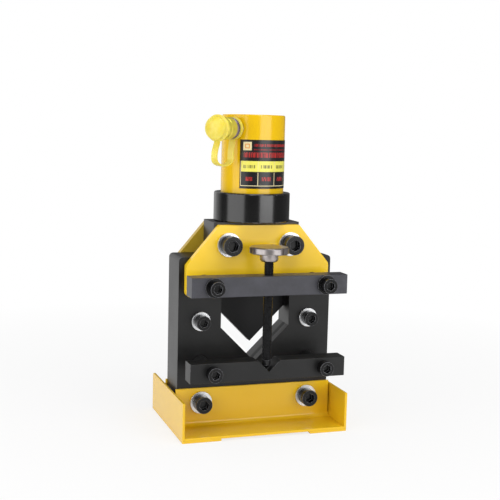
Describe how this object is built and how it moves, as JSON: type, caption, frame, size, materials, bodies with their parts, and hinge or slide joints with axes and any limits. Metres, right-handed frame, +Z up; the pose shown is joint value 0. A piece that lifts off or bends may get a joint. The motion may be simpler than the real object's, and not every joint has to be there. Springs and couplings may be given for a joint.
{
  "type": "hydraulic angle iron cutter",
  "caption": "Bench tool with a vertical hydraulic cylinder over two bolted body plates: a V blade shears angle bar held in a V window, steadied by a hold-down screw in front.",
  "frame": {"origin": "on the floor, in the middle of the whole outline seen from above", "axes": "+Z up along the cylinder, -Y towards the hold-down screw and the operator, +X to the operator's right"},
  "size_m": [0.213, 0.175, 0.392],
  "materials": {
    "body_steel": "satin black paint",
    "head_steel": "satin black paint",
    "tool_steel": "ground tool steel, oiled",
    "bronze": "machined bronze",
    "collar_black": "semi gloss black",
    "barrel_yellow": "gloss enamel",
    "seal_black": "matte",
    "seal_red": "matte",
    "ring_tan": "filled plastic",
    "machined_steel": "machined",
    "chromed_rod": "hard chrome",
    "spring_steel": "shot peened",
    "frame_yellow": "gloss enamel",
    "black_oxide": "black oxide, oiled",
    "zinc": "white zinc plating",
    "bar_steel": "satin dark grey",
    "plate_print": "printed foil",
    "coupler_plating": "nickel plating",
    "coupler_yellow": "yellow zinc plating",
    "cap_plastic": "translucent soft plastic",
    "screw_black": "black oxide thread",
    "knob_plating": "zinc plating, knurled",
    "pin_steel": "plain steel"
  },
  "bodies": {
    "frame": {"front_plate": "body_steel", "rear_plate": "body_steel", "fixed_blade": "tool_steel", "fixed_blade_screws": "black_oxide", "guide_left": "bronze", "guide_right": "bronze", "guide_screws": "black_oxide", "head_block": "head_steel", "collar": "collar_black", "barrel": "barrel_yellow", "rod_bush": "bronze", "wiper_ring": "seal_black", "return_spring": "spring_steel", "front_gusset": "frame_yellow", "rear_gusset": "frame_yellow", "gusset_bolts": "black_oxide", "gusset_washers": "zinc", "rear_lower_bolts": "black_oxide", "rear_lower_washers": "zinc", "upper_bar": "bar_steel", "lower_bar": "bar_steel", "upper_spacers": "bar_steel", "lower_spacers": "bar_steel", "upper_bar_bolts": "black_oxide", "upper_bar_washers": "black_oxide", "lower_bar_bolts": "black_oxide", "body_bolts": "black_oxide", "body_washers": "zinc", "base_front_angle": "frame_yellow", "base_rear_angle": "frame_yellow", "base_left_side": "frame_yellow", "base_right_side": "frame_yellow", "base_feet": "frame_yellow", "base_bolts": "black_oxide", "base_washers": "zinc", "data_plate": "plate_print", "coupler_adapter": "coupler_plating", "coupler_body": "coupler_yellow", "cap_strap": "cap_plastic"},
    "ram": {"piston": "machined_steel", "piston_seal": "seal_red", "wear_ring": "ring_tan", "piston_screw": "black_oxide", "ram_rod": "chromed_rod", "blade_holder": "machined_steel", "holder_pin": "pin_steel", "moving_blade": "tool_steel", "blade_screws": "black_oxide"},
    "nose": {"screw_nose": "black_oxide"},
    "screw": {"clamp_screw": "screw_black", "knob": "knob_plating", "knob_pin": "pin_steel"},
    "cap": {"dust_cap": "cap_plastic"},
    "poppet": {"coupler_poppet": "coupler_plating", "coupler_spring": "spring_steel"}
  },
  "joints": [
    {"name": "ram_stroke", "type": "slide", "parent": "frame", "child": "ram", "axis": [0, 0, -1], "range_m": [0, 0.025], "stiffness_N_per_m": 4000, "springref_m": -0.0375, "deforming": ["return_spring"]},
    {"name": "screw_feed", "type": "slide", "parent": "frame", "child": "nose", "axis": [0, 0, 1], "range_m": [0, 0.022]},
    {"name": "screw_turn", "type": "hinge", "parent": "nose", "child": "screw", "pos_m": [0, -0.0615, 0.2], "axis": [0, 0, 1], "range_deg": [0, 4530]},
    {"name": "cap_pull", "type": "slide", "parent": "frame", "child": "cap", "axis": [-0.766, -0.6428, 0], "range_m": [0, 0.018]},
    {"name": "poppet_push", "type": "slide", "parent": "frame", "child": "poppet", "axis": [0.766, 0.6428, 0], "range_m": [0, 0.003], "stiffness_N_per_m": 200, "springref_m": -0.004}
  ],
  "couplings": [
    {"joint": "screw_turn", "follows": "screw_feed", "rad_per_m": 3590.4}
  ]
}
